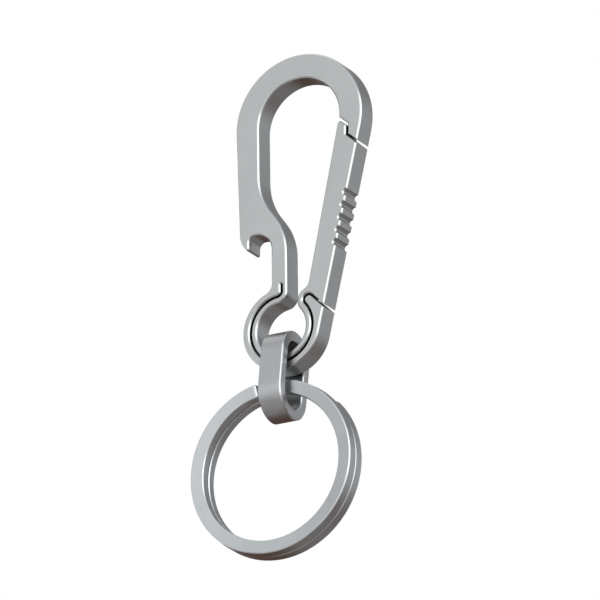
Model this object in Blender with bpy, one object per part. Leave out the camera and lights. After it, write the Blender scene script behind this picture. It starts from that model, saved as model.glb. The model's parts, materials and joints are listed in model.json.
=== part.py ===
"""Pocket carabiner with a bottle opener, a connector link and a split ring.

The carabiner is wire-cut from one titanium plate. A long slit frees a thin curved leaf
inside its eye, and the leaf carries the gate, so the plate is its own spring and hinge.
An oblong link hangs in the eye, and a two-turn flat-wire split ring hangs in the link.

Frame: metres, +Z up, -Y towards the front. The origin is the centre of the bottom of the
whole object's box. Everything is drawn round the centre of the eye, halfway through the
plate, and hangs on an empty there. An outline is a list of (x, z) points.
"""
import math

import bmesh
import bpy
from mathutils import Matrix, Vector

MM = 0.001
CHORD_ERROR = 0.008 * MM
WELD_DISTANCE = 0.001 * MM
UPRIGHT = Matrix.Rotation(math.radians(90), 4, "X")

# Plate
PLATE_THICKNESS = 4.5 * MM
PLATE_CHAMFER = 0.28 * MM

# Eye, centred on the origin
EYE_OUTER_R = 7.62 * MM
EYE_INNER_R = 4.86 * MM
SLIT_WIDTH = 0.40 * MM
SLIT_R = 6.14 * MM
SLIT_OUTER_R = SLIT_R + SLIT_WIDTH / 2
SLIT_INNER_R = SLIT_R - SLIT_WIDTH / 2
LEAF_WIDTH = SLIT_INNER_R - EYE_INNER_R

# Hook
HOOK_CENTRE = Vector((4.01, 38.06)) * MM
HOOK_OUTER_R = 12.57 * MM
HOOK_INNER_R = 8.07 * MM

# Neck, and the double bend of the spine above it
NECK_LEFT = -1.78 * MM
NECK_RIGHT = 1.25 * MM
NECK_EYE_FILLET = 1.9 * MM
NECK_CORNER_R = 2.0 * MM
NECK_TOP = 14.3 * MM
BEND_R = 11.5 * MM
BEND_TURN = 35.5
SLIT_ROOT_X = 0.12 * MM
SLIT_ROOT_TOP = 8.2 * MM
SLIT_ROOT_FILLET = 0.85 * MM

# Opener notch and claw
CLAW_ARC_R = 4.35 * MM
CLAW_ARC_TOP = 18.9 * MM
CLAW_INNER_X = -6.27 * MM
CLAW_TIP_R = 0.34 * MM
NOTCH_SMALL_R = 1.3 * MM
NOTCH_LARGE_R = 3.12 * MM
NOTCH_TOP = 18.33 * MM

# Tooth of the eye, the gate's socket round it, and the gate
TOOTH_ANGLE = 39.5
TOOTH_R = 0.72 * MM
TOOTH_CENTRE_R = SLIT_OUTER_R + TOOTH_R
SOCKET_R = TOOTH_R + SLIT_WIDTH
NUB_R = SOCKET_R + LEAF_WIDTH
NUB_FILLET = 1.8 * MM
STOP_SLOPE = -45.0
GATE_INNER_LEAN = 12.2
GATE_INNER_DISTANCE = 3.82 * MM
FINGER_CORNER_R = 0.45 * MM

# Latch between the hook's nose and the gate's finger
LATCH_GAP = 0.42 * MM
LATCH_SLOPE = -41.5
LATCH_WALL_LEAN = 3.0
LATCH_CORNER_R = 0.3 * MM
NOSE_ANGLE = -5.2
NOSE_UPPER_LENGTH = 2.38 * MM
NOSE_WALL_LENGTH = 1.82 * MM

# Thumb grooves on the gate's outer edge
GROOVE_COUNT = 5
GROOVE_R = 0.65 * MM
GROOVE_DEPTH = 0.55 * MM
GROOVE_PITCH = 2.295 * MM
TOP_GROOVE_HEIGHT = 25.46 * MM

# Planes that part the plate into frame, spring leaf and gate
SEAM_WIDTH = 0.03 * MM
ROOT_SEAM_Z = 7.9 * MM

# Connector link
LINK_LENGTH = 16.75 * MM
LINK_BREADTH = 9.8 * MM
LINK_WIDTH = 4.5 * MM
LINK_BAR = 1.9 * MM
LINK_CHAMFER = 0.22 * MM
LINK_LEAN = 10.0
LINK_CENTRE = Vector((-0.38, -0.70, -8.65)) * MM

# Split ring
RING_OUTER_R = 16.0 * MM
RING_BAND = 2.47 * MM
RING_COIL_THICKNESS = 2.06 * MM
RING_LAYER_PITCH = 2.19 * MM
RING_CHAMFER = 0.2 * MM
RING_CONE = 8.0
RING_FRONT_END = 100.0
RING_JOGGLE_START = 432.0
RING_TAIL_END = 763.5
RING_STEP = 4.0
RING_CENTRE = Vector((-1.95, -1.05, -25.50)) * MM

# Eye's centre above the middle of the whole object's bottom
OBJECT_LEFT = RING_CENTRE.x - RING_OUTER_R
OBJECT_RIGHT = HOOK_CENTRE.x + HOOK_OUTER_R
OBJECT_BOTTOM = RING_CENTRE.z - RING_OUTER_R
EYE_CENTRE = Vector((-(OBJECT_LEFT + OBJECT_RIGHT) / 2, -LINK_CENTRE.y, -OBJECT_BOTTOM))

TITANIUM = (0.44, 0.45, 0.44)
TITANIUM_SPRING = (0.46, 0.47, 0.46)
TITANIUM_GATE = (0.43, 0.44, 0.43)
TITANIUM_LINK = (0.42, 0.43, 0.43)
STEEL_RING = (0.50, 0.52, 0.53)


# ---------------------------------------------------------------- plane geometry

def unit(degrees):
    """Direction in the outline's plane, counted anticlockwise from +X."""
    angle = math.radians(degrees)
    return Vector((math.cos(angle), math.sin(angle)))


def arc(centre, radius, start, end):
    """Points of an arc from start to end in degrees, clockwise when end is below start."""
    step = math.degrees(2 * math.acos(1 - CHORD_ERROR / radius))
    count = max(2, math.ceil(abs(end - start) / step))
    angles = [start + (end - start) * i / count for i in range(count + 1)]
    return [Vector(centre) + radius * unit(angle) for angle in angles]


def meet(point_a, direction_a, point_b, direction_b):
    """Crossing of two straight lines."""
    along = (point_b - point_a).cross(direction_b) / direction_a.cross(direction_b)
    return point_a + direction_a * along


def rounded(before, corner, after, radius):
    """Arc that rounds the corner between two straight edges."""
    to_before = (before - corner).normalized()
    to_after = (after - corner).normalized()
    half = to_before.angle(to_after) / 2
    centre = corner + (to_before + to_after).normalized() * (radius / math.sin(half))
    touch_start = corner + to_before * (radius / math.tan(half))
    start = heading(touch_start - centre)
    turn = 180 - math.degrees(2 * half)
    if (corner - before).cross(after - corner) < 0:
        turn = -turn
    return arc(centre, radius, start, start + turn)


def heading(vector):
    """Angle of a direction in degrees."""
    return math.degrees(math.atan2(vector.y, vector.x))


def eye_fillet_centre(wall_x, eye_r, radius):
    """Centre of the fillet between a vertical wall and a circle round the origin."""
    x = wall_x - radius
    return Vector((x, math.sqrt((eye_r + radius) ** 2 - x ** 2)))


# ---------------------------------------------------------------- plate outline

TANGENT_SWING = math.degrees(math.acos((EYE_OUTER_R - HOOK_OUTER_R) / HOOK_CENTRE.length))
RIGHT_NORMAL = heading(HOOK_CENTRE) - TANGENT_SWING
LEFT_NORMAL = heading(HOOK_CENTRE) + TANGENT_SWING
RIGHT_FOOT = unit(RIGHT_NORMAL) * EYE_OUTER_R
RIGHT_SIDE = unit(RIGHT_NORMAL + 90)
TOOTH_CENTRE = unit(TOOTH_ANGLE) * TOOTH_CENTRE_R


def nose_corners():
    """Inner, upper, lower and outer corner of the hook's nose at the latch."""
    slope = unit(LATCH_SLOPE)
    inner = HOOK_CENTRE + unit(NOSE_ANGLE) * HOOK_INNER_R
    upper = inner + slope * NOSE_UPPER_LENGTH
    lower = upper + unit(-90 - LATCH_WALL_LEAN) * NOSE_WALL_LENGTH
    outer = meet(lower, slope, RIGHT_FOOT, RIGHT_SIDE)
    return inner, upper, lower, outer


def latch_corners():
    """Outer, lower, upper and inner corner of the gate at the latch."""
    slope = unit(LATCH_SLOPE)
    wall = unit(-90 - LATCH_WALL_LEAN)
    shift = unit(LATCH_SLOPE - 90) * LATCH_GAP
    wall_shift = unit(180 - LATCH_WALL_LEAN) * LATCH_GAP
    nose_inner, nose_upper, nose_lower, _ = nose_corners()
    upper = meet(nose_inner + shift, slope, nose_upper + wall_shift, wall)
    lower = meet(nose_lower + shift, slope, nose_upper + wall_shift, wall)
    outer = meet(lower, slope, RIGHT_FOOT, RIGHT_SIDE)
    inner = meet(upper, slope, gate_inner_foot(), gate_inner_side())
    return outer, lower, upper, inner


def gate_inner_foot():
    return unit(-GATE_INNER_LEAN) * GATE_INNER_DISTANCE


def gate_inner_side():
    return unit(90 - GATE_INNER_LEAN)


def hook_outside():
    return arc(HOOK_CENTRE, HOOK_OUTER_R, RIGHT_NORMAL, LEFT_NORMAL)


def claw_and_notch():
    """Claw's outer arc, its tip and inner wall, and the notch up to the neck."""
    left = unit(LEFT_NORMAL)
    claw_x = (EYE_OUTER_R - CLAW_ARC_R - left.y * CLAW_ARC_TOP) / left.x
    claw_centre = Vector((claw_x, CLAW_ARC_TOP))
    tip_x = CLAW_INNER_X - CLAW_TIP_R
    tip_drop = math.sqrt((CLAW_ARC_R - CLAW_TIP_R) ** 2 - (tip_x - claw_x) ** 2)
    tip_centre = Vector((tip_x, CLAW_ARC_TOP - tip_drop))
    landing = heading(tip_centre - claw_centre) + 360
    points = arc(claw_centre, CLAW_ARC_R, LEFT_NORMAL, landing)
    points += arc(tip_centre, CLAW_TIP_R, landing, 360)
    small_centre = Vector((CLAW_INNER_X + NOTCH_SMALL_R, NOTCH_TOP - NOTCH_SMALL_R))
    points += arc(small_centre, NOTCH_SMALL_R, 180, 90)
    large_centre = Vector((NECK_LEFT - NOTCH_LARGE_R, NOTCH_TOP - NOTCH_LARGE_R))
    points += arc(large_centre, NOTCH_LARGE_R, 90, 0)
    return points


def eye_outside():
    """Neck's left wall into the eye, round its outside to the right-hand side."""
    centre = eye_fillet_centre(NECK_LEFT, EYE_OUTER_R, NECK_EYE_FILLET)
    landing = heading(centre)
    points = arc(centre, NECK_EYE_FILLET, 0, landing - 180)
    points += arc((0, 0), EYE_OUTER_R, landing, 360 + RIGHT_NORMAL)
    return points


def tooth():
    """Stop tooth that ends the outer ring of the eye."""
    slope = unit(STOP_SLOPE)
    top = TOOTH_CENTRE + unit(STOP_SLOPE + 90) * TOOTH_R
    corner = meet(top, slope, RIGHT_FOOT, RIGHT_SIDE)
    return [corner] + arc(TOOTH_CENTRE, TOOTH_R, STOP_SLOPE + 90, TOOTH_ANGLE + 180)


def slit():
    """Outer wall of the slit, its rounded blind end in the neck, and its inner wall."""
    left_x = SLIT_ROOT_X - SLIT_WIDTH / 2
    right_x = SLIT_ROOT_X + SLIT_WIDTH / 2
    small_r = SLIT_ROOT_FILLET - SLIT_WIDTH / 2
    large_r = SLIT_ROOT_FILLET + SLIT_WIDTH / 2
    centre = eye_fillet_centre(left_x, SLIT_OUTER_R, small_r)
    landing = heading(centre)
    points = arc((0, 0), SLIT_OUTER_R, TOOTH_ANGLE, landing - 360)
    points += arc(centre, small_r, landing - 180, 0)
    points += arc((SLIT_ROOT_X, SLIT_ROOT_TOP), SLIT_WIDTH / 2, 180, 0)
    centre = eye_fillet_centre(right_x, SLIT_INNER_R, large_r)
    landing = heading(centre)
    points += arc(centre, large_r, 0, landing - 180)
    points += arc((0, 0), SLIT_INNER_R, landing, 360 + TOOTH_ANGLE)
    return points


def gate_outside():
    """Socket round the tooth, the gate's foot, and its outer edge with thumb grooves."""
    slope = unit(STOP_SLOPE)
    points = arc(TOOTH_CENTRE, SOCKET_R, TOOTH_ANGLE + 180, STOP_SLOPE + 90)
    points.append(meet(points[-1], slope, RIGHT_FOOT, RIGHT_SIDE))
    half_mouth = math.degrees(math.acos((GROOVE_R - GROOVE_DEPTH) / GROOVE_R))
    inward = RIGHT_NORMAL + 180
    for i in reversed(range(GROOVE_COUNT)):
        height = TOP_GROOVE_HEIGHT - i * GROOVE_PITCH
        proud = unit(RIGHT_NORMAL) * (GROOVE_R - GROOVE_DEPTH)
        centre = RIGHT_FOOT + RIGHT_SIDE * height + proud
        points += arc(centre, GROOVE_R, inward + half_mouth, inward - half_mouth)
    return points


def gate_top():
    """Gate's side of the latch: shelf, wall and the finger under the nose."""
    outer, lower, upper, inner = latch_corners()
    points = [outer]
    points += rounded(outer, lower, upper, LATCH_CORNER_R)
    points += rounded(lower, upper, inner, LATCH_CORNER_R)
    points += rounded(upper, inner, gate_inner_foot(), FINGER_CORNER_R)
    return points


def gate_inside():
    """Gate's inner edge, its fillet into the nub, and the nub down to the leaf."""
    foot = gate_inner_foot()
    side = gate_inner_side()
    across = unit(180 - GATE_INNER_LEAN)
    gap = (TOOTH_CENTRE - foot).dot(across) - NUB_FILLET
    climb = math.sqrt((NUB_R + NUB_FILLET) ** 2 - gap ** 2)
    height = (TOOTH_CENTRE - foot).dot(side) + climb
    centre = foot + side * height + across * NUB_FILLET
    landing = heading(centre - TOOTH_CENTRE)
    points = arc(centre, NUB_FILLET, -GATE_INNER_LEAN, landing - 180)
    points += arc(TOOTH_CENTRE, NUB_R, landing, TOOTH_ANGLE + 180)
    return points


def eye_inside():
    """Bore of the eye, clockwise from the nub to the neck."""
    centre = eye_fillet_centre(NECK_RIGHT, EYE_INNER_R, NECK_CORNER_R)
    landing = heading(centre)
    points = arc((0, 0), EYE_INNER_R, TOOTH_ANGLE, landing - 360)
    points += arc(centre, NECK_CORNER_R, landing - 180, 0)
    return points


def spine_inside():
    """Double bend from the neck to the spine's inner wall, and the hook's inside."""
    spine_x = HOOK_CENTRE.x - HOOK_INNER_R
    low_centre = Vector((NECK_RIGHT - BEND_R, NECK_TOP))
    points = arc(low_centre, BEND_R, 0, BEND_TURN)
    shift = NECK_RIGHT - spine_x - 2 * BEND_R * (1 - math.cos(math.radians(BEND_TURN)))
    straight = shift / math.sin(math.radians(BEND_TURN))
    bend_end = points[-1] + unit(90 + BEND_TURN) * straight
    high_centre = bend_end + unit(BEND_TURN) * BEND_R
    points += arc(high_centre, BEND_R, 180 + BEND_TURN, 180)
    points += arc(HOOK_CENTRE, HOOK_INNER_R, 180, NOSE_ANGLE)
    return points


def nose():
    """Hook's side of the latch."""
    inner, upper, lower, outer = nose_corners()
    points = rounded(inner, upper, lower, LATCH_CORNER_R)
    points += rounded(upper, lower, outer, LATCH_CORNER_R)
    points.append(outer)
    return points


def plate_outline():
    """The whole plate as one closed loop, anticlockwise seen from the front."""
    return (hook_outside() + claw_and_notch() + eye_outside() + tooth() + slit()
            + gate_outside() + gate_top() + gate_inside() + eye_inside()
            + spine_inside() + nose())


# ---------------------------------------------------------------- Blender objects

def metal(name, colour, roughness):
    material = bpy.data.materials.new(name)
    material.use_nodes = True
    shader = material.node_tree.nodes["Principled BSDF"]
    shader.inputs["Base Color"].default_value = (*colour, 1.0)
    shader.inputs["Metallic"].default_value = 1.0
    shader.inputs["Roughness"].default_value = roughness
    return material


def new_collection(name):
    collection = bpy.data.collections.new(name)
    bpy.context.scene.collection.children.link(collection)
    return collection


def add_loop(curve, points):
    """Closed poly spline through the points, leaving out repeats."""
    kept = []
    for point in points:
        if not kept or (point - kept[-1]).length > WELD_DISTANCE:
            kept.append(point)
    if (kept[0] - kept[-1]).length <= WELD_DISTANCE:
        kept.pop()
    spline = curve.splines.new("POLY")
    spline.points.add(len(kept) - 1)
    for slot, point in zip(spline.points, kept):
        slot.co = (point.x, point.y, 0.0, 1.0)
    spline.use_cyclic_u = True


def flat_curve(name, loops, thickness, chamfer_width):
    """Flat outline in the local XY plane, thickened along local Z, with chamfered edges."""
    curve = bpy.data.curves.new(name, "CURVE")
    curve.dimensions = "2D"
    curve.fill_mode = "BOTH"
    curve.extrude = thickness / 2 - chamfer_width
    curve.bevel_depth = chamfer_width
    curve.bevel_resolution = 0
    curve.offset = -chamfer_width
    for loop in loops:
        add_loop(curve, loop)
    return bpy.data.objects.new(name, curve)


def weld(piece):
    modifier = piece.modifiers.new("weld_caps", "WELD")
    modifier.merge_threshold = WELD_DISTANCE


def baked(piece, collection):
    """Mesh object with the piece's modifiers applied; the piece itself is removed."""
    if not piece.users_collection:
        bpy.context.scene.collection.objects.link(piece)
    graph = bpy.context.evaluated_depsgraph_get()
    mesh = bpy.data.meshes.new_from_object(piece.evaluated_get(graph))
    turn_faces_out(mesh)
    name = piece.name
    bpy.data.objects.remove(piece)
    result = bpy.data.objects.new(name, mesh)
    collection.objects.link(result)
    return result


def turn_faces_out(mesh):
    work = bmesh.new()
    work.from_mesh(mesh)
    bmesh.ops.recalc_face_normals(work, faces=work.faces)
    work.to_mesh(mesh)
    work.free()


def smooth(piece, degrees=30.0):
    piece.data.shade_smooth()
    piece.data.set_sharp_from_angle(angle=math.radians(degrees))


def seam_blade(name, centre, across, length, collection):
    """Thin upright blade that parts the plate; across is the blade's long direction."""
    bpy.ops.mesh.primitive_cube_add(size=1.0)
    blade = bpy.context.object
    blade.name = name
    long_axis = Vector((across.x, 0.0, across.y))
    thin_axis = Vector((-across.y, 0.0, across.x))
    depth_axis = Vector((0.0, 1.0, 0.0))
    turn = Matrix((long_axis, depth_axis, thin_axis)).transposed()
    size = Matrix.Diagonal((length, 2 * PLATE_THICKNESS, SEAM_WIDTH))
    blade.data.transform((turn @ size).to_4x4())
    blade.location = (centre.x, 0.0, centre.y)
    for owner in blade.users_collection:
        owner.objects.unlink(blade)
    collection.objects.link(blade)
    blade.hide_render = True
    blade.display_type = "WIRE"
    return blade


def cut(piece, blade):
    modifier = piece.modifiers.new("cut_" + blade.name, "BOOLEAN")
    modifier.operation = "DIFFERENCE"
    modifier.solver = "EXACT"
    modifier.object = blade


def islands(mesh):
    """Vertex index sets of the separate bodies in a mesh."""
    work = bmesh.new()
    work.from_mesh(mesh)
    left = set(work.verts)
    found = []
    while left:
        front = [left.pop()]
        body = set(front)
        while front:
            vertex = front.pop()
            for edge in vertex.link_edges:
                other = edge.other_vert(vertex)
                if other in left:
                    left.discard(other)
                    body.add(other)
                    front.append(other)
        found.append({vertex.index for vertex in body})
    work.free()
    return found


def keep_island(source, keep, name, material, collection, eye):
    """New object that holds one body of the source mesh."""
    mesh = source.data.copy()
    mesh.name = name
    work = bmesh.new()
    work.from_mesh(mesh)
    work.verts.ensure_lookup_table()
    spare = [vertex for vertex in work.verts if vertex.index not in keep]
    bmesh.ops.delete(work, geom=spare, context="VERTS")
    work.to_mesh(mesh)
    work.free()
    mesh.materials.clear()
    mesh.materials.append(material)
    piece = bpy.data.objects.new(name, mesh)
    collection.objects.link(piece)
    piece.parent = eye
    smooth(piece)


def highest(mesh, indices):
    return max(mesh.vertices[i].co.z for i in indices)


# ---------------------------------------------------------------- pieces

def build_plate(parts, cutters, eye):
    """Frame, spring leaf and gate, parted from the one plate at two seams."""
    plate = flat_curve("plate", [plate_outline()], PLATE_THICKNESS, PLATE_CHAMFER)
    weld(plate)
    plate = baked(plate, cutters)
    plate.data.transform(UPRIGHT)

    reach = 1.0 * MM
    root_left = SLIT_ROOT_X
    root_right = NECK_RIGHT + reach
    root = Vector(((root_left + root_right) / 2, ROOT_SEAM_Z))
    cut(plate, seam_blade("root_blade", root, unit(0), root_right - root_left, cutters))
    tip_inner = EYE_INNER_R - reach
    tip = unit(TOOTH_ANGLE) * (tip_inner + SLIT_R) / 2
    cut(plate, seam_blade("tip_blade", tip, unit(TOOTH_ANGLE), SLIT_R - tip_inner, cutters))
    plate = baked(plate, cutters)

    bodies = sorted(islands(plate.data), key=lambda body: highest(plate.data, body))
    leaf, gate, frame = bodies
    frame_metal = metal("frame_titanium", TITANIUM, 0.38)
    leaf_metal = metal("spring_titanium", TITANIUM_SPRING, 0.36)
    gate_metal = metal("gate_titanium", TITANIUM_GATE, 0.40)
    keep_island(plate, frame, "carabiner_frame", frame_metal, parts, eye)
    keep_island(plate, leaf, "gate_spring", leaf_metal, parts, eye)
    keep_island(plate, gate, "gate", gate_metal, parts, eye)
    bpy.data.objects.remove(plate)


def stadium(half_straight, radius):
    """Oblong loop along local Y, anticlockwise."""
    top = Vector((0, half_straight))
    return arc(top, radius, 0, 180) + arc(-top, radius, 180, 360)


def build_link(parts, eye):
    """Oblong link that rides round the eye, so its parent empty is the eye's centre."""
    outer_r = LINK_BREADTH / 2
    half_straight = LINK_LENGTH / 2 - outer_r
    loops = [stadium(half_straight, outer_r), stadium(half_straight, outer_r - LINK_BAR)]
    link = flat_curve("connector_link", loops, LINK_WIDTH, LINK_CHAMFER)
    weld(link)
    link = baked(link, parts)
    stand_up = Matrix(((0, 0, 1), (1, 0, 0), (0, 1, 0)))
    link.data.transform(stand_up.to_4x4())
    link.data.materials.append(metal("link_titanium", TITANIUM_LINK, 0.40))
    smooth(link)
    link.parent = eye
    link.location = LINK_CENTRE
    link.rotation_euler = (-math.radians(LINK_LEAN), 0, 0)


def coil_height(angle):
    """Height of the coil's centre above the ring's mid-plane, front layer positive."""
    travel = (angle - RING_JOGGLE_START) / (RING_FRONT_END + 360 - RING_JOGGLE_START)
    travel = min(1.0, max(0.0, travel))
    ease = travel * travel * (3 - 2 * travel)
    return RING_LAYER_PITCH * (0.5 - ease)


def section_points():
    """Chamfered flat-wire section, turned by the coil's slight cone."""
    half_band = RING_BAND / 2
    half_thick = RING_COIL_THICKNESS / 2
    corners = [(half_band, half_thick), (-half_band, half_thick),
               (-half_band, -half_thick), (half_band, -half_thick)]
    turn = Matrix.Rotation(math.radians(RING_CONE), 2)
    points = []
    for i, corner in enumerate(corners):
        before = Vector(corners[i - 1])
        after = Vector(corners[(i + 1) % len(corners)])
        here = Vector(corner)
        points.append(turn @ (here + (before - here).normalized() * RING_CHAMFER))
        points.append(turn @ (here + (after - here).normalized() * RING_CHAMFER))
    return points


def section_guide(guides):
    curve = bpy.data.curves.new("coil_section", "CURVE")
    curve.dimensions = "2D"
    add_loop(curve, section_points())
    section = bpy.data.objects.new("coil_section", curve)
    guides.objects.link(section)
    section.hide_render = True
    section.display_type = "WIRE"
    return section


def build_ring(parts, guides, eye):
    """Two-turn split ring; its pivot empty sits where the coils cross the link."""
    path_r = RING_OUTER_R - max(point.x for point in section_points())
    curve = bpy.data.curves.new("split_ring", "CURVE")
    curve.dimensions = "3D"
    curve.twist_mode = "Z_UP"
    curve.bevel_mode = "OBJECT"
    curve.bevel_object = section_guide(guides)
    curve.use_fill_caps = True
    count = math.ceil((RING_TAIL_END - RING_FRONT_END) / RING_STEP)
    spline = curve.splines.new("POLY")
    spline.points.add(count)
    for i, slot in enumerate(spline.points):
        angle = RING_FRONT_END + (RING_TAIL_END - RING_FRONT_END) * i / count
        flat = unit(angle) * path_r
        slot.co = (flat.x, flat.y, coil_height(angle), 1.0)
    ring = bpy.data.objects.new("split_ring", curve)
    weld(ring)
    ring = baked(ring, parts)
    ring.data.materials.append(metal("ring_steel", STEEL_RING, 0.34))
    smooth(ring)
    lift = math.sqrt(path_r ** 2 - (LINK_CENTRE.x - RING_CENTRE.x) ** 2)
    pivot = bpy.data.objects.new("ring_pivot", None)
    parts.objects.link(pivot)
    pivot.parent = eye
    pivot.location = (LINK_CENTRE.x, RING_CENTRE.y, RING_CENTRE.z + lift)
    ring.parent = pivot
    ring.location = RING_CENTRE - pivot.location
    ring.rotation_euler = (math.radians(90), 0, 0)


def main():
    for old in list(bpy.data.objects):
        bpy.data.objects.remove(old)
    parts = new_collection("keychain_bottle_opener")
    cutters = new_collection("cutters")
    eye = bpy.data.objects.new("eye_centre", None)
    eye.location = EYE_CENTRE
    parts.objects.link(eye)
    build_plate(parts, cutters, eye)
    build_link(parts, eye)
    build_ring(parts, cutters, eye)


main()
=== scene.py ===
"""Looks of the pocket carabiner with its opener notch, connector link and split ring.

Five pieces are drawn, one for each CAD node: the carabiner's frame, its spring leaf and
its gate, parted at two closed seams, then the link and the ring. Plate sections are lists
of (x, z) points round the centre of the eye, and the scene is in metres, +Z up.
"""

import json
import math

import bmesh
import bpy
from mathutils import Matrix, Vector


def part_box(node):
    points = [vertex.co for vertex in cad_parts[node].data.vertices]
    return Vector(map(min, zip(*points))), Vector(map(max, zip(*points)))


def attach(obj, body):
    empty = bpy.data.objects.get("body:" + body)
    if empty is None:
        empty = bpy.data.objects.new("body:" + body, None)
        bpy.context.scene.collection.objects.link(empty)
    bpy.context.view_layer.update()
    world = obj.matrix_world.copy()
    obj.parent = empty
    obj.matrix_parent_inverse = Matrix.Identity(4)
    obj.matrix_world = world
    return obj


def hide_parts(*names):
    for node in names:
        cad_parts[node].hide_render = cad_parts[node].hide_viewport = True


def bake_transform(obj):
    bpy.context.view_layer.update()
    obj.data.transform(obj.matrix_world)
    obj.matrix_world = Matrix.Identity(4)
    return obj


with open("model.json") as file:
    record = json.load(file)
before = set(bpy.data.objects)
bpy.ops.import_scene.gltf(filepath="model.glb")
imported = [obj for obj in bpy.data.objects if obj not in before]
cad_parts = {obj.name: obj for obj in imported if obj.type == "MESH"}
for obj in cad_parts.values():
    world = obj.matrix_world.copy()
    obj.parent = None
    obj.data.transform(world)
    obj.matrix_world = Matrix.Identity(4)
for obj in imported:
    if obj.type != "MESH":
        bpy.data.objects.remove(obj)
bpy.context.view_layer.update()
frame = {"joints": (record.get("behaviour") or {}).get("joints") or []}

MM = 0.001
CHORD_ERROR = 0.008 * MM
WELD_DISTANCE = 0.001 * MM
SEAM_TOLERANCE = 0.01 * MM
SOFT_EDGE = 0.05 * MM
SHARP_ANGLE = math.radians(30)
CHAMFER_SLOPE = math.radians(45)
PARALLEL_TWIST = 1e-4

# Carabiner's plate, drawn round the centre of the eye
PLATE_CHAMFER = 0.28 * MM
EYE_OUTER_R = 7.62 * MM
EYE_INNER_R = 4.86 * MM
SLIT_WIDTH = 0.40 * MM
SLIT_R = 6.14 * MM
SLIT_OUTER_R = SLIT_R + SLIT_WIDTH / 2
SLIT_INNER_R = SLIT_R - SLIT_WIDTH / 2
LEAF_WIDTH = SLIT_INNER_R - EYE_INNER_R
HOOK_CENTRE = Vector((4.01, 38.06)) * MM
HOOK_OUTER_R = 12.57 * MM
HOOK_INNER_R = 8.07 * MM
NECK_LEFT = -1.78 * MM
NECK_RIGHT = 1.25 * MM
NECK_EYE_FILLET = 1.9 * MM
NECK_CORNER_R = 2.0 * MM
NECK_TOP = 14.3 * MM
BEND_R = 11.5 * MM
BEND_TURN = 35.5
SLIT_ROOT_X = 0.12 * MM
SLIT_ROOT_TOP = 8.2 * MM
SLIT_ROOT_FILLET = 0.85 * MM
ROOT_SEAM_Z = 7.9 * MM
CLAW_ARC_R = 4.35 * MM
CLAW_ARC_TOP = 18.9 * MM
CLAW_INNER_X = -6.27 * MM
CLAW_TIP_R = 0.34 * MM
NOTCH_SMALL_R = 1.3 * MM
NOTCH_LARGE_R = 3.12 * MM
NOTCH_TOP = 18.33 * MM
LEAF_ROOT_ANGLE = 100.0
TOOTH_ANGLE = 39.5
TOOTH_R = 0.72 * MM
TOOTH_CENTRE_R = SLIT_OUTER_R + TOOTH_R
SOCKET_R = TOOTH_R + SLIT_WIDTH
NUB_R = SOCKET_R + LEAF_WIDTH
NUB_FILLET = 1.8 * MM
STOP_SLOPE = -45.0
GATE_INNER_LEAN = 12.2
GATE_INNER_DISTANCE = 3.82 * MM
FINGER_CORNER_R = 0.45 * MM
LATCH_GAP = 0.42 * MM
LATCH_SLOPE = -41.5
LATCH_WALL_LEAN = 3.0
LATCH_CORNER_R = 0.3 * MM
NOSE_ANGLE = -5.2
NOSE_UPPER_LENGTH = 2.38 * MM
NOSE_WALL_LENGTH = 1.82 * MM
GROOVE_COUNT = 5
GROOVE_R = 0.65 * MM
GROOVE_DEPTH = 0.55 * MM
GROOVE_PITCH = 2.295 * MM
TOP_GROOVE_HEIGHT = 25.46 * MM

# Connector link
LINK_LENGTH = 16.75 * MM
LINK_BREADTH = 9.8 * MM
LINK_WIDTH = 4.5 * MM
LINK_BAR = 1.9 * MM
LINK_CHAMFER = 0.22 * MM
LINK_LEAN = 10.0
LINK_STEP = 5.0

# Split ring: angles run anticlockwise from +X, seen from the front, on through both coils
RING_OUTER_R = 16.0 * MM
RING_BAND = 2.47 * MM
RING_COIL_THICKNESS = 2.06 * MM
RING_LAYER_PITCH = 2.19 * MM
RING_CHAMFER = 0.2 * MM
RING_CONE = 4.5
RING_FRONT_END = 100.0
RING_JOGGLE_START = 432.0
RING_TAIL_END = 763.5
RING_STEP = 2.0
RING_END_LENGTH = 0.28 * MM
RING_END_DROP = 0.12 * MM

# Camera: degrees round the object from the front, degrees above it, and its roll
CAMERA_AZIMUTH = 28.49
CAMERA_ELEVATION = -20.24
CAMERA_ROLL = -0.7
CAMERA_TARGET = Vector((3.36, 0.7, 46.94)) * MM
CAMERA_DISTANCE = 1.751
CAMERA_LENS = 600.0
CAMERA_NEAR = 0.01
CAMERA_FAR = 20.0

# Floor: its middle is solid and its rim fades out, both as shares of the radius
FLOOR_HEIGHT = -0.35
FLOOR_RADIUS = 0.65
FLOOR_SIDES = 128
FLOOR_ROUGHNESS = 0.8
FLOOR_SOLID = 0.45
FLOOR_CLEAR = 0.98
FIBRE_TONES = (0.86, 0.9)

# Lamp over the object
LAMP_PLACE = (-0.45, 0.25, 1.1)
LAMP_SIZE = 0.7
LAMP_POWER = 9.0

# Patterns as (scale per metre, detail), and the part of each one's range that is used
NOISE_MIDDLE = (0.3, 0.7)
GRIT = (6500.0, 2.0)
PATCHES = (260.0, 3.0)
CLOUDS = (60.0, 2.0)
SPOTS = (1500.0, 4.0)
STREAKS = (1.0, 3.0)
FIBRES = (90.0, 4.0)
SPOT_RANGE = (0.60, 0.72)
CLOUDY_RANGE = (0.7, 1.3)
CLOUDY_TONES = (0.95, 1.05)
PATCH_ROUGHNESS = 0.04
GRIT_ROUGHNESS = 0.05
GRAIN_DEPTH = 0.02 * MM
STREAK_BUMP = 2.0

# Painted shade in narrow gaps: how far it reaches, at which openness, and the tone at the bottom
GAP_SHADE_REACH = 0.8 * MM
GAP_SHADE_SAMPLES = 4
GAP_SHADE_RANGE = (0.2, 0.65)
DEEP_GAP_SHADE = 0.06
COIL_GAP_SHADE = 0.65

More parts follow.
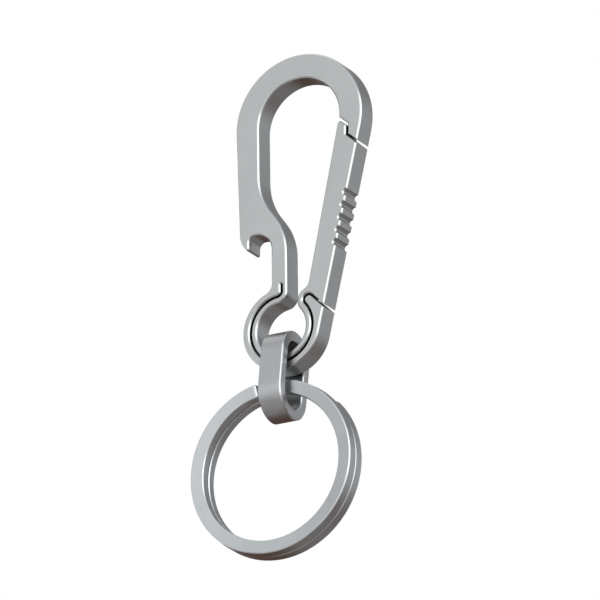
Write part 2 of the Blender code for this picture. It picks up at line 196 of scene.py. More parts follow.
# Finishes: streaks run along the plate on its faces and across it on its cut walls
ALONG_PLATE = (500.0, 500.0, 60.0)
ACROSS_WALL = (3000.0, 90.0, 3000.0)
FACE_FINISH = {"roughness": 0.36, "grain": 0.35, "streak_scale": ALONG_PLATE,
               "streak": 0.012, "wear": 0.02}
CHAMFER_FINISH = {"roughness": 0.22, "grain": 0.12, "streak_scale": ALONG_PLATE,
                  "streak": 0.01, "wear": 0.03}
WALL_FINISH = {"roughness": 0.34, "grain": 0.2, "streak_scale": ACROSS_WALL,
               "streak": 0.03, "wear": 0.02}
# The chamfer's colour is brightened as a painted highlight
CHAMFER_HIGHLIGHT = 1.35
WALL_SHINE = 0.97
PLATE_TINT = (0.50, 0.51, 0.505)
LINK_TINT = (0.51, 0.515, 0.52)
RING_TINT = (0.52, 0.535, 0.54)

# Light: the room's colour, then patches of it as (direction, inner and outer angle, colour)
ROOM_COLOUR = (0.46, 0.47, 0.49, 1.0)
ROOM_PATCHES = [((0.0, 0.35, -0.94), 40, 95, (0.20, 0.16, 0.145, 1.0)),
                ((-0.5, 0.8, -0.3), 15, 45, (0.12, 0.07, 0.055, 1.0)),
                ((-0.45, -0.5, -0.74), 5, 40, (0.46, 0.44, 0.43, 1.0)),
                ((0.2, -0.94, 0.26), 5, 60, (1.34, 1.38, 1.39, 1.0)),
                ((-0.95, -0.1, 0.0), 10, 42, (0.80, 0.81, 0.82, 1.0)),
                ((0.9, 0.4, 0.2), 5, 42, (0.66, 0.68, 0.71, 1.0)),
                ((-0.4, 0.2, 0.9), 12, 42, (0.9, 0.9, 0.9, 1.0)),
                ((-0.5, 0.8, 0.35), 8, 30, (0.20, 0.20, 0.21, 1.0)),
                ((0.05, 0.8, 0.6), 8, 30, (0.28, 0.28, 0.29, 1.0)),
                ((0.1, 0.85, -0.5), 8, 30, (0.29, 0.28, 0.28, 1.0)),
                ((0.84, -0.46, 0.26), 10, 30, (1.8, 1.83, 1.86, 1.0))]


# ---------------------------------------------------------------- plane geometry

def unit(degrees):
    """Direction in the section's plane, counted anticlockwise from +X."""
    angle = math.radians(degrees)
    return Vector((math.cos(angle), math.sin(angle)))


def arc(centre, radius, start, end):
    """Points of an arc from start to end in degrees, clockwise when end is below start."""
    step = math.degrees(2 * math.acos(1 - CHORD_ERROR / radius))
    count = max(2, math.ceil(abs(end - start) / step))
    angles = [start + (end - start) * i / count for i in range(count + 1)]
    return [Vector(centre) + radius * unit(angle) for angle in angles]


def meet(point_a, direction_a, point_b, direction_b):
    """Crossing of two straight lines."""
    along = (point_b - point_a).cross(direction_b) / direction_a.cross(direction_b)
    return point_a + direction_a * along


def heading(vector):
    """Angle of a direction in degrees."""
    return math.degrees(math.atan2(vector.y, vector.x))


def rounded(before, corner, after, radius):
    """Arc that rounds the corner between two straight edges."""
    to_before = (before - corner).normalized()
    to_after = (after - corner).normalized()
    half = to_before.angle(to_after) / 2
    centre = corner + (to_before + to_after).normalized() * (radius / math.sin(half))
    touch_start = corner + to_before * (radius / math.tan(half))
    start = heading(touch_start - centre)
    turn = 180 - math.degrees(2 * half)
    if (corner - before).cross(after - corner) < 0:
        turn = -turn
    return arc(centre, radius, start, start + turn)


def eye_fillet_centre(wall_x, eye_r, radius):
    """Centre of the fillet between a vertical wall and a circle round the eye's centre."""
    x = wall_x - radius
    return Vector((x, math.sqrt((eye_r + radius) ** 2 - x ** 2)))


# ---------------------------------------------------------------- plate sections

TANGENT_SWING = math.degrees(math.acos((EYE_OUTER_R - HOOK_OUTER_R) / HOOK_CENTRE.length))
RIGHT_NORMAL = heading(HOOK_CENTRE) - TANGENT_SWING
LEFT_NORMAL = heading(HOOK_CENTRE) + TANGENT_SWING
RIGHT_FOOT = unit(RIGHT_NORMAL) * EYE_OUTER_R
RIGHT_SIDE = unit(RIGHT_NORMAL + 90)
TOOTH_CENTRE = unit(TOOTH_ANGLE) * TOOTH_CENTRE_R


def nose_corners():
    """Inner, upper, lower and outer corner of the hook's nose at the latch."""
    slope = unit(LATCH_SLOPE)
    inner = HOOK_CENTRE + unit(NOSE_ANGLE) * HOOK_INNER_R
    upper = inner + slope * NOSE_UPPER_LENGTH
    lower = upper + unit(-90 - LATCH_WALL_LEAN) * NOSE_WALL_LENGTH
    outer = meet(lower, slope, RIGHT_FOOT, RIGHT_SIDE)
    return inner, upper, lower, outer


def gate_inner_foot():
    """Point of the gate's inner edge that is nearest to the eye's centre."""
    return unit(-GATE_INNER_LEAN) * GATE_INNER_DISTANCE


def gate_inner_side():
    """Direction of the gate's inner edge, upwards."""
    return unit(90 - GATE_INNER_LEAN)


def latch_corners():
    """Outer, lower, upper and inner corner of the gate at the latch."""
    slope = unit(LATCH_SLOPE)
    wall = unit(-90 - LATCH_WALL_LEAN)
    shift = unit(LATCH_SLOPE - 90) * LATCH_GAP
    wall_shift = unit(180 - LATCH_WALL_LEAN) * LATCH_GAP
    nose_inner, nose_upper, nose_lower, _ = nose_corners()
    upper = meet(nose_inner + shift, slope, nose_upper + wall_shift, wall)
    lower = meet(nose_lower + shift, slope, nose_upper + wall_shift, wall)
    outer = meet(lower, slope, RIGHT_FOOT, RIGHT_SIDE)
    inner = meet(upper, slope, gate_inner_foot(), gate_inner_side())
    return outer, lower, upper, inner


def claw_and_notch():
    """Claw's outer arc, its tip and inner wall, and the notch up to the neck."""
    left = unit(LEFT_NORMAL)
    claw_x = (EYE_OUTER_R - CLAW_ARC_R - left.y * CLAW_ARC_TOP) / left.x
    claw_centre = Vector((claw_x, CLAW_ARC_TOP))
    tip_x = CLAW_INNER_X - CLAW_TIP_R
    tip_drop = math.sqrt((CLAW_ARC_R - CLAW_TIP_R) ** 2 - (tip_x - claw_x) ** 2)
    tip_centre = Vector((tip_x, CLAW_ARC_TOP - tip_drop))
    landing = heading(tip_centre - claw_centre) + 360
    points = arc(claw_centre, CLAW_ARC_R, LEFT_NORMAL, landing)
    points += arc(tip_centre, CLAW_TIP_R, landing, 360)
    small_centre = Vector((CLAW_INNER_X + NOTCH_SMALL_R, NOTCH_TOP - NOTCH_SMALL_R))
    points += arc(small_centre, NOTCH_SMALL_R, 180, 90)
    large_centre = Vector((NECK_LEFT - NOTCH_LARGE_R, NOTCH_TOP - NOTCH_LARGE_R))
    points += arc(large_centre, NOTCH_LARGE_R, 90, 0)
    return points


def eye_outside():
    """Neck's left wall into the eye, round its outside to the right-hand side."""
    centre = eye_fillet_centre(NECK_LEFT, EYE_OUTER_R, NECK_EYE_FILLET)
    landing = heading(centre)
    points = arc(centre, NECK_EYE_FILLET, 0, landing - 180)
    points += arc((0, 0), EYE_OUTER_R, landing, 360 + RIGHT_NORMAL)
    return points


def tooth():
    """Stop tooth that ends the outer ring of the eye."""
    slope = unit(STOP_SLOPE)
    top = TOOTH_CENTRE + unit(STOP_SLOPE + 90) * TOOTH_R
    corner = meet(top, slope, RIGHT_FOOT, RIGHT_SIDE)
    return [corner] + arc(TOOTH_CENTRE, TOOTH_R, STOP_SLOPE + 90, TOOTH_ANGLE + 180)


def slit_outside():
    """Outer wall of the slit, and its rounded blind end in the neck."""
    left_x = SLIT_ROOT_X - SLIT_WIDTH / 2
    small_r = SLIT_ROOT_FILLET - SLIT_WIDTH / 2
    centre = eye_fillet_centre(left_x, SLIT_OUTER_R, small_r)
    landing = heading(centre)
    points = arc((0, 0), SLIT_OUTER_R, TOOTH_ANGLE, landing - 360)
    points += arc(centre, small_r, landing - 180, 0)
    points += arc((SLIT_ROOT_X, SLIT_ROOT_TOP), SLIT_WIDTH / 2, 180, 0)
    return points


def slit_inside():
    """Inner wall of the slit, from the neck round to the gate."""
    right_x = SLIT_ROOT_X + SLIT_WIDTH / 2
    large_r = SLIT_ROOT_FILLET + SLIT_WIDTH / 2
    centre = eye_fillet_centre(right_x, SLIT_INNER_R, large_r)
    landing = heading(centre)
    points = arc(centre, large_r, 0, landing - 180)
    points += arc((0, 0), SLIT_INNER_R, landing, 360 + TOOTH_ANGLE)
    return points


def eye_inside():
    """Bore of the eye, clockwise from the nub to the neck."""
    centre = eye_fillet_centre(NECK_RIGHT, EYE_INNER_R, NECK_CORNER_R)
    landing = heading(centre)
    points = arc((0, 0), EYE_INNER_R, TOOTH_ANGLE, landing - 360)
    points += arc(centre, NECK_CORNER_R, landing - 180, 0)
    return points


def spine_inside():
    """Double bend from the neck to the spine's inner wall, and the hook's inside."""
    spine_x = HOOK_CENTRE.x - HOOK_INNER_R
    low_centre = Vector((NECK_RIGHT - BEND_R, NECK_TOP))
    points = arc(low_centre, BEND_R, 0, BEND_TURN)
    shift = NECK_RIGHT - spine_x - 2 * BEND_R * (1 - math.cos(math.radians(BEND_TURN)))
    straight = shift / math.sin(math.radians(BEND_TURN))
    bend_end = points[-1] + unit(90 + BEND_TURN) * straight
    high_centre = bend_end + unit(BEND_TURN) * BEND_R
    points += arc(high_centre, BEND_R, 180 + BEND_TURN, 180)
    points += arc(HOOK_CENTRE, HOOK_INNER_R, 180, NOSE_ANGLE)
    return points


def nose():
    """Hook's side of the latch."""
    inner, upper, lower, outer = nose_corners()
    points = rounded(inner, upper, lower, LATCH_CORNER_R)
    points += rounded(upper, lower, outer, LATCH_CORNER_R)
    points.append(outer)
    return points


def gate_outside():
    """Socket round the tooth, the gate's foot, and its outer edge with thumb grooves."""
    slope = unit(STOP_SLOPE)
    points = arc(TOOTH_CENTRE, SOCKET_R, TOOTH_ANGLE + 180, STOP_SLOPE + 90)
    points.append(meet(points[-1], slope, RIGHT_FOOT, RIGHT_SIDE))
    half_mouth = math.degrees(math.acos((GROOVE_R - GROOVE_DEPTH) / GROOVE_R))
    inward = RIGHT_NORMAL + 180
    for i in reversed(range(GROOVE_COUNT)):
        height = TOP_GROOVE_HEIGHT - i * GROOVE_PITCH
        proud = unit(RIGHT_NORMAL) * (GROOVE_R - GROOVE_DEPTH)
        centre = RIGHT_FOOT + RIGHT_SIDE * height + proud
        points += arc(centre, GROOVE_R, inward + half_mouth, inward - half_mouth)
    return points


def gate_top():
    """Gate's side of the latch: shelf, wall and the finger under the nose."""
    outer, lower, upper, inner = latch_corners()
    points = [outer]
    points += rounded(outer, lower, upper, LATCH_CORNER_R)
    points += rounded(lower, upper, inner, LATCH_CORNER_R)
    points += rounded(upper, inner, gate_inner_foot(), FINGER_CORNER_R)
    return points


def gate_inside():
    """Gate's inner edge, its fillet into the nub, and the nub down to the leaf."""
    foot = gate_inner_foot()
    side = gate_inner_side()
    across = unit(180 - GATE_INNER_LEAN)
    gap = (TOOTH_CENTRE - foot).dot(across) - NUB_FILLET
    climb = math.sqrt((NUB_R + NUB_FILLET) ** 2 - gap ** 2)
    height = (TOOTH_CENTRE - foot).dot(side) + climb
    centre = foot + side * height + across * NUB_FILLET
    landing = heading(centre - TOOTH_CENTRE)
    points = arc(centre, NUB_FILLET, -GATE_INNER_LEAN, landing - 180)
    points += arc(TOOTH_CENTRE, NUB_R, landing, TOOTH_ANGLE + 180)
    return points


def frame_section():
    """Hook, spine, neck and the eye's outer ring, with a flat seam across the neck."""
    seam_left = Vector((SLIT_ROOT_X + SLIT_WIDTH / 2, ROOT_SEAM_Z))
    seam_right = Vector((NECK_RIGHT, ROOT_SEAM_Z))
    return (arc(HOOK_CENTRE, HOOK_OUTER_R, RIGHT_NORMAL, LEFT_NORMAL) + claw_and_notch()
            + eye_outside() + tooth() + slit_outside() + [seam_left, seam_right]
            + spine_inside() + nose())


def leaf_section():
    """Spring leaf between the slit and the bore of the eye."""
    seam_left = Vector((SLIT_ROOT_X + SLIT_WIDTH / 2, ROOT_SEAM_Z))
    seam_right = Vector((NECK_RIGHT, ROOT_SEAM_Z))
    return [seam_left] + slit_inside() + eye_inside() + [seam_right]


def gate_section():
    """Gate from its foot round the tooth, up to the latch and down its inner edge."""
    return gate_outside() + gate_top() + gate_inside()


# ---------------------------------------------------------------- meshes

def on_seam(a, b):
    """True for an edge that lies on the seam across the neck or the one at the leaf's tip."""
    low = ROOT_SEAM_Z - SEAM_TOLERANCE
    high = ROOT_SEAM_Z + SEAM_TOLERANCE
    in_neck = SLIT_ROOT_X < min(a.x, b.x) and max(a.x, b.x) < NECK_RIGHT + SEAM_TOLERANCE
    if low < min(a.y, b.y) and max(a.y, b.y) < high and in_neck:
        return True
    tip = unit(TOOTH_ANGLE)
    off_tip = max(abs(a.cross(tip)), abs(b.cross(tip)))
    return off_tip < SEAM_TOLERANCE and min(a.dot(tip), b.dot(tip)) > 0


def without_repeats(points):
    """Closed outline without its points that lie on the one before."""
    kept = []
    for point in points:
        if not kept or (point - kept[-1]).length > WELD_DISTANCE:
            kept.append(point)
    if (kept[0] - kept[-1]).length <= WELD_DISTANCE:
        kept.pop()
    return kept


def inset_directions(points):
    """For each corner, how far it moves when its chamfered edges move in by one unit."""
    edges = [points[(i + 1) % len(points)] - points[i] for i in range(len(points))]
    normals = [Vector((edge.y, -edge.x)).normalized() for edge in edges]
    reach = []
    for i, point in enumerate(points):
        after = points[(i + 1) % len(points)]
        reach.append(0.0 if on_seam(point, after) else 1.0)
    moves = []
    for i in range(len(points)):
        before, after = normals[i - 1], normals[i]
        back, ahead = reach[i - 1], reach[i]
        twist = before.cross(after)
        if abs(twist) < PARALLEL_TWIST:
            moves.append(-after * ahead)
            continue
        x = (ahead * before.y - back * after.y) / twist
        y = (back * after.x - ahead * before.x) / twist
        moves.append(Vector((x, y)))
    return moves


# Which of a piece's three materials a face has
FACE, EDGE, WALL = 0, 1, 2


def soft_chamfer(chamfer):
    """(inset, depth) down a chamfer whose two corners are softened."""
    lean = SOFT_EDGE * math.sin(CHAMFER_SLOPE)
    sag = SOFT_EDGE * (1 - math.cos(CHAMFER_SLOPE))
    half_lean = SOFT_EDGE * math.sin(CHAMFER_SLOPE / 2)
    half_sag = SOFT_EDGE * (1 - math.cos(CHAMFER_SLOPE / 2))
    top = [(chamfer, 0.0), (chamfer - half_lean, half_sag), (chamfer - lean, sag)]
    return top + [(depth, inset) for inset, depth in reversed(top)]


def plate_profile(thickness):
    """Rings from the front face to the back face as (inset, depth, kind of next strip)."""
    front = soft_chamfer(PLATE_CHAMFER) + [(0.0, PLATE_CHAMFER + SOFT_EDGE)]
    back = [(inset, thickness - depth) for inset, depth in reversed(front)]
    edges = [EDGE] * (len(front) - 2)
    kinds = edges + [WALL] * 3 + edges + [FACE]
    return [(inset, depth, kind) for (inset, depth), kind in zip(front + back, kinds)]


def finish_mesh(name, vertices, faces, kinds, caps, materials):
    """Piece with smooth walls whose caps keep their own flat shading."""
    mesh = bpy.data.meshes.new(name)
    mesh.from_pydata(vertices, [], faces)
    work = bmesh.new()
    work.from_mesh(mesh)
    bmesh.ops.recalc_face_normals(work, faces=work.faces)
    work.to_mesh(mesh)
    work.free()
    mesh.shade_smooth()
    mesh.set_sharp_from_angle(angle=SHARP_ANGLE)
    rim = {pair for i in caps for pair in mesh.polygons[i].edge_keys}
    for edge in mesh.edges:
        if edge.key in rim:
            edge.use_edge_sharp = True
    for material in materials:
        mesh.materials.append(material)
    for polygon, kind in zip(mesh.polygons, kinds):
        polygon.material_index = kind
    piece = bpy.data.objects.new(name, mesh)
    bpy.context.scene.collection.objects.link(piece)
    return piece


def plate_piece(name, section, thickness, centre, materials):
    """Section thickened along Y round the eye's centre, with softened chamfers."""
    points = without_repeats(section)
    moves = inset_directions(points)
    count = len(points)
    profile = plate_profile(thickness)
    vertices = []
    for inset, depth, _ in profile:
        for point, move in zip(points, moves):
            flat = point + move * inset
            vertices.append(centre + Vector((flat.x, depth - thickness / 2, flat.y)))
    faces = [list(range(count)), list(range(len(vertices) - count, len(vertices)))]
    kinds = [FACE, FACE]
    for ring, (_, _, kind) in enumerate(profile[:-1]):
        for i in range(count):
            near = ring * count + i
            beside = ring * count + (i + 1) % count
            faces.append([near, beside, beside + count, near + count])
            kinds.append(kind)
    return finish_mesh(name, vertices, faces, kinds, (0, 1), materials)


def wire_section(breadth, depth, chamfer):
    """Rectangle with softened chamfers as points (radial, axial) and strip kinds."""
    half = Vector((breadth / 2, depth / 2))
    corners = [half, Vector((-half.x, half.y)), -half, Vector((half.x, -half.y))]
    points = []
    kinds = []
    for i, corner in enumerate(corners):
        arriving = (corner - corners[i - 1]).normalized()
        leaving = (corners[(i + 1) % 4] - corner).normalized()
        side, next_side = (WALL, FACE) if i % 2 == 0 else (FACE, WALL)
        rim = soft_chamfer(chamfer)
        spots = [(chamfer + SOFT_EDGE, 0.0)] + rim + [(0.0, chamfer + SOFT_EDGE)]
        points += [corner - arriving * back + leaving * ahead for back, ahead in spots]
        kinds += [side] + [EDGE] * (len(rim) - 1) + [next_side] * 2
    return points, kinds


def swept_piece(name, section, stations, closed, materials):
    """Section carried through stations of (place, radial axis, axial axis, shrink)."""
    points, strip_kinds = section
    count = len(points)
    vertices = []
    for place, radial, axial, shrink in stations:
        for point in points:
            spot = Vector((point.x - math.copysign(shrink, point.x),
                           point.y - math.copysign(shrink, point.y)))
            vertices.append(place + radial * spot.x + axial * spot.y)
    faces = []
    kinds = []
    caps = ()
    if not closed:
        faces = [list(range(count)), list(range(len(vertices) - count, len(vertices)))]
        kinds = [FACE, FACE]
        caps = (0, 1)
    strips = len(stations) if closed else len(stations) - 1
    for strip in range(strips):
        ahead = (strip + 1) % len(stations)
        tapered = stations[strip][3] != stations[ahead][3]
        for i in range(count):
            beside = (i + 1) % count
            faces.append([strip * count + i, strip * count + beside,
                          ahead * count + beside, ahead * count + i])
            kinds.append(EDGE if tapered else strip_kinds[i])
    return finish_mesh(name, vertices, faces, kinds, caps, materials)


def link_stations(centre):
    """Once round the oblong loop, which leans its bottom towards the front."""
    outer_r = LINK_BREADTH / 2
    middle_r = outer_r - LINK_BAR / 2
    half_straight = LINK_LENGTH / 2 - outer_r
    lean = Matrix.Rotation(-math.radians(LINK_LEAN), 3, "X")
    steps = round(180 / LINK_STEP)
    stations = []
    for i in range(2 * (steps + 1)):
        end = 1 if i <= steps else -1
        turn = unit((i if end > 0 else i - 1) * LINK_STEP)
        radial = Vector((0.0, turn.x, turn.y))
        place = radial * middle_r + Vector((0.0, 0.0, end * half_straight))
        stations.append((centre + lean @ place, lean @ radial, Vector((1, 0, 0)), 0.0))
    return stations


def coil_height(angle):
    """Height of the coil's centre above the ring's mid-plane, front layer positive."""
    travel = (angle - RING_JOGGLE_START) / (RING_FRONT_END + 360 - RING_JOGGLE_START)
    travel = min(1.0, max(0.0, travel))
    ease = travel * travel * (3 - 2 * travel)
    return RING_LAYER_PITCH * (0.5 - ease)


def ring_stations(centre, path_r):
    """Along the two coils from the front end to the tail, with both ends chamfered."""
    cone = math.radians(RING_CONE)
    bevel = math.degrees(RING_END_LENGTH / path_r)
    first = RING_FRONT_END + bevel
    last = RING_TAIL_END - bevel
    count = math.ceil((last - first) / RING_STEP)
    body = [first + (last - first) * i / count for i in range(count + 1)]
    angles = [RING_FRONT_END] + body + [RING_TAIL_END]
    stations = []
    for i, angle in enumerate(angles):
        out = unit(angle)
        outward = Vector((out.x, 0.0, out.y))
        forward = Vector((0.0, -1.0, 0.0))
        radial = outward * math.cos(cone) + forward * math.sin(cone)
        axial = forward * math.cos(cone) - outward * math.sin(cone)
        place = centre + outward * path_r + forward * coil_height(angle)
        shrink = RING_END_DROP if i in (0, len(angles) - 1) else 0.0
        stations.append((place, radial, axial, shrink))
    return stations


# ---------------------------------------------------------------- materials

def node(tree, kind, inputs=None, **settings):
    """New node with its settings, and its inputs set to values or linked to sockets."""
    made = tree.nodes.new(kind)
    for name, value in settings.items():
        setattr(made, name, value)
    for key, value in (inputs or {}).items():
        if isinstance(value, bpy.types.NodeSocket):
            tree.links.new(value, made.inputs[key])
        else:
            made.inputs[key].default_value = value
    return made


def noise(tree, vector, pattern):
    """Grey noise of one pattern's scale and detail."""
    scale, detail = pattern
    made = node(tree, "ShaderNodeTexNoise", {"Vector": vector, "Scale": scale, "Detail": detail})
    return made.outputs["Fac"]


def remap(tree, value, given, wanted):
    """Value with its given range stretched to the wanted one."""
    made = node(tree, "ShaderNodeMapRange",
                {"Value": value, "From Min": given[0], "From Max": given[1],
                 "To Min": wanted[0], "To Max": wanted[1]})
    return made.outputs["Result"]


def combine(tree, operation, a, b):
    """Two values put together by one of the Math node's operations."""
    return node(tree, "ShaderNodeMath", {0: a, 1: b}, operation=operation).outputs[0]


def metal(name, colour, gap_shade_tone, roughness, grain, streak_scale, streak, wear):
    """Metal with blasted grain, streaks along one axis, patches of tone and worn spots.

    Narrow gaps get painted shade: their colour is darkened by how closed in they are, standing
    also for bare as-cut metal where blasting doesn't reach.
    """
    material = bpy.data.materials.new(name)
    material.use_nodes = True
    tree = material.node_tree
    shader = tree.nodes["Principled BSDF"]
    place = node(tree, "ShaderNodeTexCoord").outputs["Object"]
    stretched = node(tree, "ShaderNodeMapping", {"Vector": place, "Scale": streak_scale})
    grit = noise(tree, place, GRIT)
    patch = noise(tree, place, PATCHES)
    cloud = noise(tree, place, CLOUDS)
    lines = noise(tree, stretched.outputs["Vector"], STREAKS)
    spots = remap(tree, noise(tree, place, SPOTS), SPOT_RANGE, (0.0, wear))

    tone = remap(tree, combine(tree, "ADD", patch, cloud), CLOUDY_RANGE, CLOUDY_TONES)
    tone = combine(tree, "ADD", tone, remap(tree, lines, NOISE_MIDDLE, (-streak, streak)))
    tone = combine(tree, "ADD", tone, spots)
    # Painted shade: colour darkened where nearby metal closes the surface in
    gap_openness = node(tree, "ShaderNodeAmbientOcclusion", {"Distance": GAP_SHADE_REACH},
                    samples=GAP_SHADE_SAMPLES)
    painted_gap_shade = remap(tree, gap_openness.outputs["AO"], GAP_SHADE_RANGE, (gap_shade_tone, 1.0))
    tone = combine(tree, "MULTIPLY", tone, painted_gap_shade)
    tinted = node(tree, "ShaderNodeVectorMath", {0: colour, "Scale": tone}, operation="SCALE")
    tree.links.new(tinted.outputs[0], shader.inputs["Base Color"])
    shader.inputs["Metallic"].default_value = 1.0

    patchy = (roughness - PATCH_ROUGHNESS, roughness + PATCH_ROUGHNESS)
    gritty = (-GRIT_ROUGHNESS, GRIT_ROUGHNESS)
    rough = combine(tree, "ADD", remap(tree, patch, NOISE_MIDDLE, patchy),
                    remap(tree, grit, NOISE_MIDDLE, gritty))
    rough = combine(tree, "SUBTRACT", rough, spots)
    tree.links.new(rough, shader.inputs["Roughness"])

    fine = node(tree, "ShaderNodeBump",
                {"Height": grit, "Strength": grain, "Distance": GRAIN_DEPTH})
    coarse = node(tree, "ShaderNodeBump",
                  {"Height": lines, "Strength": STREAK_BUMP * streak,
                   "Distance": GRAIN_DEPTH, "Normal": fine.outputs["Normal"]})
    tree.links.new(coarse.outputs["Normal"], shader.inputs["Normal"])
    return material


def piece_metals(name, colour, gap_shade_tone):
    """Blasted face, polished chamfer and cut wall of one piece, in the order of the kinds; the
    chamfer's colour is brightened as a painted highlight.
    """
    highlit_colour = tuple(min(1.0, CHAMFER_HIGHLIGHT * channel) for channel in colour)
    wall = tuple(WALL_SHINE * channel for channel in colour)
    return [metal(name + "_face", colour, gap_shade_tone, **FACE_FINISH),
            metal(name + "_chamfer", highlit_colour, gap_shade_tone, **CHAMFER_FINISH),
            metal(name + "_wall", wall, gap_shade_tone, **WALL_FINISH)]


# ---------------------------------------------------------------- light, floor, camera

# Places of the colour sockets on a Mix node
MIX_FROM, MIX_TO, MIX_RESULT = 6, 7, 2


def lobe(tree, direction, toward, inner, outer):
    """1 within the inner angle of a direction, falling smoothly to 0 at the outer one."""
    aim = Vector(toward).normalized()
    along = node(tree, "ShaderNodeVectorMath", {0: direction, 1: aim}, operation="DOT_PRODUCT")
    made = node(tree, "ShaderNodeMapRange",
                {"Value": along.outputs["Value"],
                 "From Min": math.cos(math.radians(outer)),
                 "From Max": math.cos(math.radians(inner))},
                interpolation_type="SMOOTHSTEP")
    return made.outputs["Result"]


def light_studio():
    """White room whose walls differ in brightness; the camera itself sees plain white."""
    world = bpy.data.worlds.new("studio")
    bpy.context.scene.world = world
    world.use_nodes = True
    tree = world.node_tree
    tree.nodes.clear()
    direction = node(tree, "ShaderNodeTexCoord").outputs["Generated"]
    colour = ROOM_COLOUR
    for toward, inner, outer, shade in ROOM_PATCHES:
        mask = lobe(tree, direction, toward, inner, outer)
        mix = node(tree, "ShaderNodeMix", {0: mask, MIX_FROM: colour, MIX_TO: shade},
                   data_type="RGBA")
        colour = mix.outputs[MIX_RESULT]
    room = node(tree, "ShaderNodeBackground", {"Color": colour})
    white = node(tree, "ShaderNodeBackground", {"Color": (1.0, 1.0, 1.0, 1.0)})
    seen = node(tree, "ShaderNodeLightPath").outputs["Is Camera Ray"]
    both = node(tree, "ShaderNodeMixShader",
                {0: seen, 1: room.outputs[0], 2: white.outputs[0]})
    node(tree, "ShaderNodeOutputWorld", {"Surface": both.outputs[0]})


def hang_lamp():
    """Soft round lamp for the floor; the metal doesn't mirror it."""
    light = bpy.data.lights.new("overhead", "AREA")
    light.shape = "DISK"
    light.size = LAMP_SIZE
    light.energy = LAMP_POWER
    lamp = bpy.data.objects.new("overhead", light)
    lamp.location = LAMP_PLACE
    aim = Vector((0.0, 0.0, FLOOR_HEIGHT)) - lamp.location
    lamp.rotation_euler = aim.to_track_quat("-Z", "Y").to_euler()
    lamp.visible_glossy = False
    bpy.context.scene.collection.objects.link(lamp)


def lay_floor():
    """Pale round floor under the hanging object, fading out at its rim."""
    bpy.ops.mesh.primitive_circle_add(vertices=FLOOR_SIDES, radius=FLOOR_RADIUS,
                                      fill_type="NGON", location=(0.0, 0.0, FLOOR_HEIGHT))
    floor = bpy.context.object
    floor.name = "studio_floor"
    material = bpy.data.materials.new("floor_paper")
    material.use_nodes = True
    tree = material.node_tree
    paper = tree.nodes["Principled BSDF"]
    paper.inputs["Roughness"].default_value = FLOOR_ROUGHNESS
    place = node(tree, "ShaderNodeTexCoord").outputs["Object"]
    fibre = remap(tree, noise(tree, place, FIBRES), NOISE_MIDDLE, FIBRE_TONES)
    tree.links.new(fibre, paper.inputs["Base Color"])
    away = node(tree, "ShaderNodeVectorMath", {0: place}, operation="LENGTH")
    fade = node(tree, "ShaderNodeMapRange",
                {"Value": away.outputs["Value"], "From Min": FLOOR_SOLID * FLOOR_RADIUS,
                 "From Max": FLOOR_CLEAR * FLOOR_RADIUS}, interpolation_type="SMOOTHSTEP")
    clear = node(tree, "ShaderNodeBsdfTransparent")
    both = node(tree, "ShaderNodeMixShader", {0: fade.outputs["Result"],
                                              1: paper.outputs[0], 2: clear.outputs[0]})
    tree.links.new(both.outputs[0], tree.nodes["Material Output"].inputs["Surface"])
    floor.data.materials.append(material)
    floor.visible_glossy = False


def aim_camera():
    """Long-lens camera that looks up at the object from its front right."""
    azimuth = math.radians(CAMERA_AZIMUTH)
    elevation = math.radians(CAMERA_ELEVATION)
    back = Vector((math.cos(elevation) * math.sin(azimuth),
                   -math.cos(elevation) * math.cos(azimuth), math.sin(elevation)))
    data = bpy.data.cameras.new("camera")
    data.lens = CAMERA_LENS
    data.clip_start = CAMERA_NEAR
    data.clip_end = CAMERA_FAR
    camera = bpy.data.objects.new("camera", data)
    camera.location = CAMERA_TARGET + back * CAMERA_DISTANCE
    level = back.to_track_quat("Z", "Y")
    roll = Matrix.Rotation(math.radians(CAMERA_ROLL), 3, "Z")
    camera.rotation_euler = (level.to_matrix() @ roll).to_euler()
    bpy.context.scene.collection.objects.link(camera)
    bpy.context.scene.camera = camera
    bpy.context.scene.view_settings.view_transform = "Standard"


# ---------------------------------------------------------------- the object

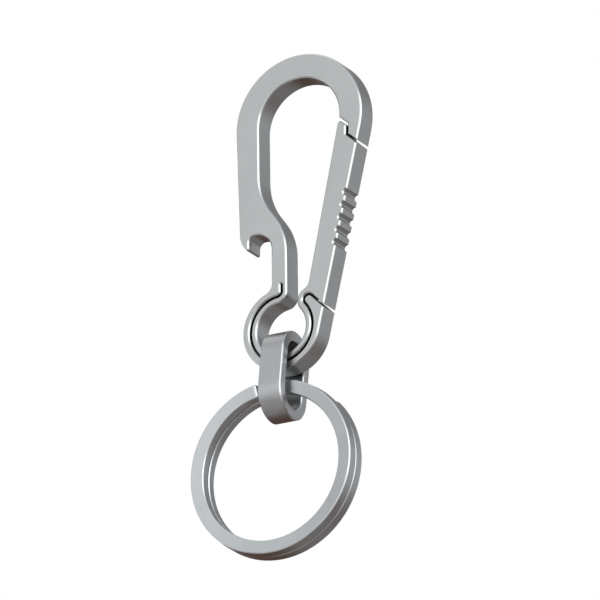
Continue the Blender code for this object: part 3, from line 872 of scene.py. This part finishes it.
def bend_leaf(leaf, centre):
    """Leaf with its placement baked into its mesh; each vertex's angle round the eye is worked
    out, but no vertex moves, so the tip doesn't follow the gate.
    """
    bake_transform(leaf)
    for vertex in leaf.data.vertices:
        spot = vertex.co - centre
        turn = math.degrees(math.atan2(spot.z, spot.x))
        if turn < (TOOTH_ANGLE + LEAF_ROOT_ANGLE) / 2:
            turn += 360


def build_plate(centre):
    """Frame, leaf and gate of the carabiner, all of one thickness."""
    low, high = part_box("carabiner_frame")
    thickness = high.y - low.y
    pieces = (("plate_frame", "carabiner_frame", "frame_titanium", frame_section()),
              ("spring_leaf", "gate_spring", "spring_titanium", leaf_section()),
              ("plate_gate", "gate", "gate_titanium", gate_section()))
    for name, stands_for, slot, section in pieces:
        metals = piece_metals(name, PLATE_TINT, DEEP_GAP_SHADE)
        piece = plate_piece(name, section, thickness, centre, metals)
        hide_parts(stands_for)
        if stands_for == "gate_spring":
            bend_leaf(piece, centre)
        else:
            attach(piece, "gate" if stands_for == "gate" else "frame")


def build_link():
    """Oblong loop that joins the eye to the ring."""
    low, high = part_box("connector_link")
    section = wire_section(LINK_BAR, LINK_WIDTH, LINK_CHAMFER)
    stations = link_stations((low + high) / 2)
    link = swept_piece("oblong_link", section, stations, True,
                       piece_metals("link", LINK_TINT, DEEP_GAP_SHADE))
    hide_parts("connector_link")
    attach(link, "link")


def build_ring():
    """Two-turn coil whose bottom stands where the CAD ring's does."""
    low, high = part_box("split_ring")
    section = wire_section(RING_BAND, RING_COIL_THICKNESS, RING_CHAMFER)
    cone = math.radians(RING_CONE)
    across = max(point.x * math.cos(cone) - point.y * math.sin(cone) for point in section[0])
    path_r = RING_OUTER_R - across
    centre = Vector(((low.x + high.x) / 2, (low.y + high.y) / 2, low.z + RING_OUTER_R))
    ring = swept_piece("coiled_ring", section, ring_stations(centre, path_r), False,
                       piece_metals("ring", RING_TINT, COIL_GAP_SHADE))
    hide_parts("split_ring")
    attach(ring, "ring")


def main():
    joints = {joint["name"]: joint for joint in frame["joints"]}
    eye_centre = Vector(joints["gate_flex"]["pos_m"])
    build_plate(eye_centre)
    build_link()
    build_ring()
    light_studio()
    hang_lamp()
    lay_floor()
    aim_camera()


main()
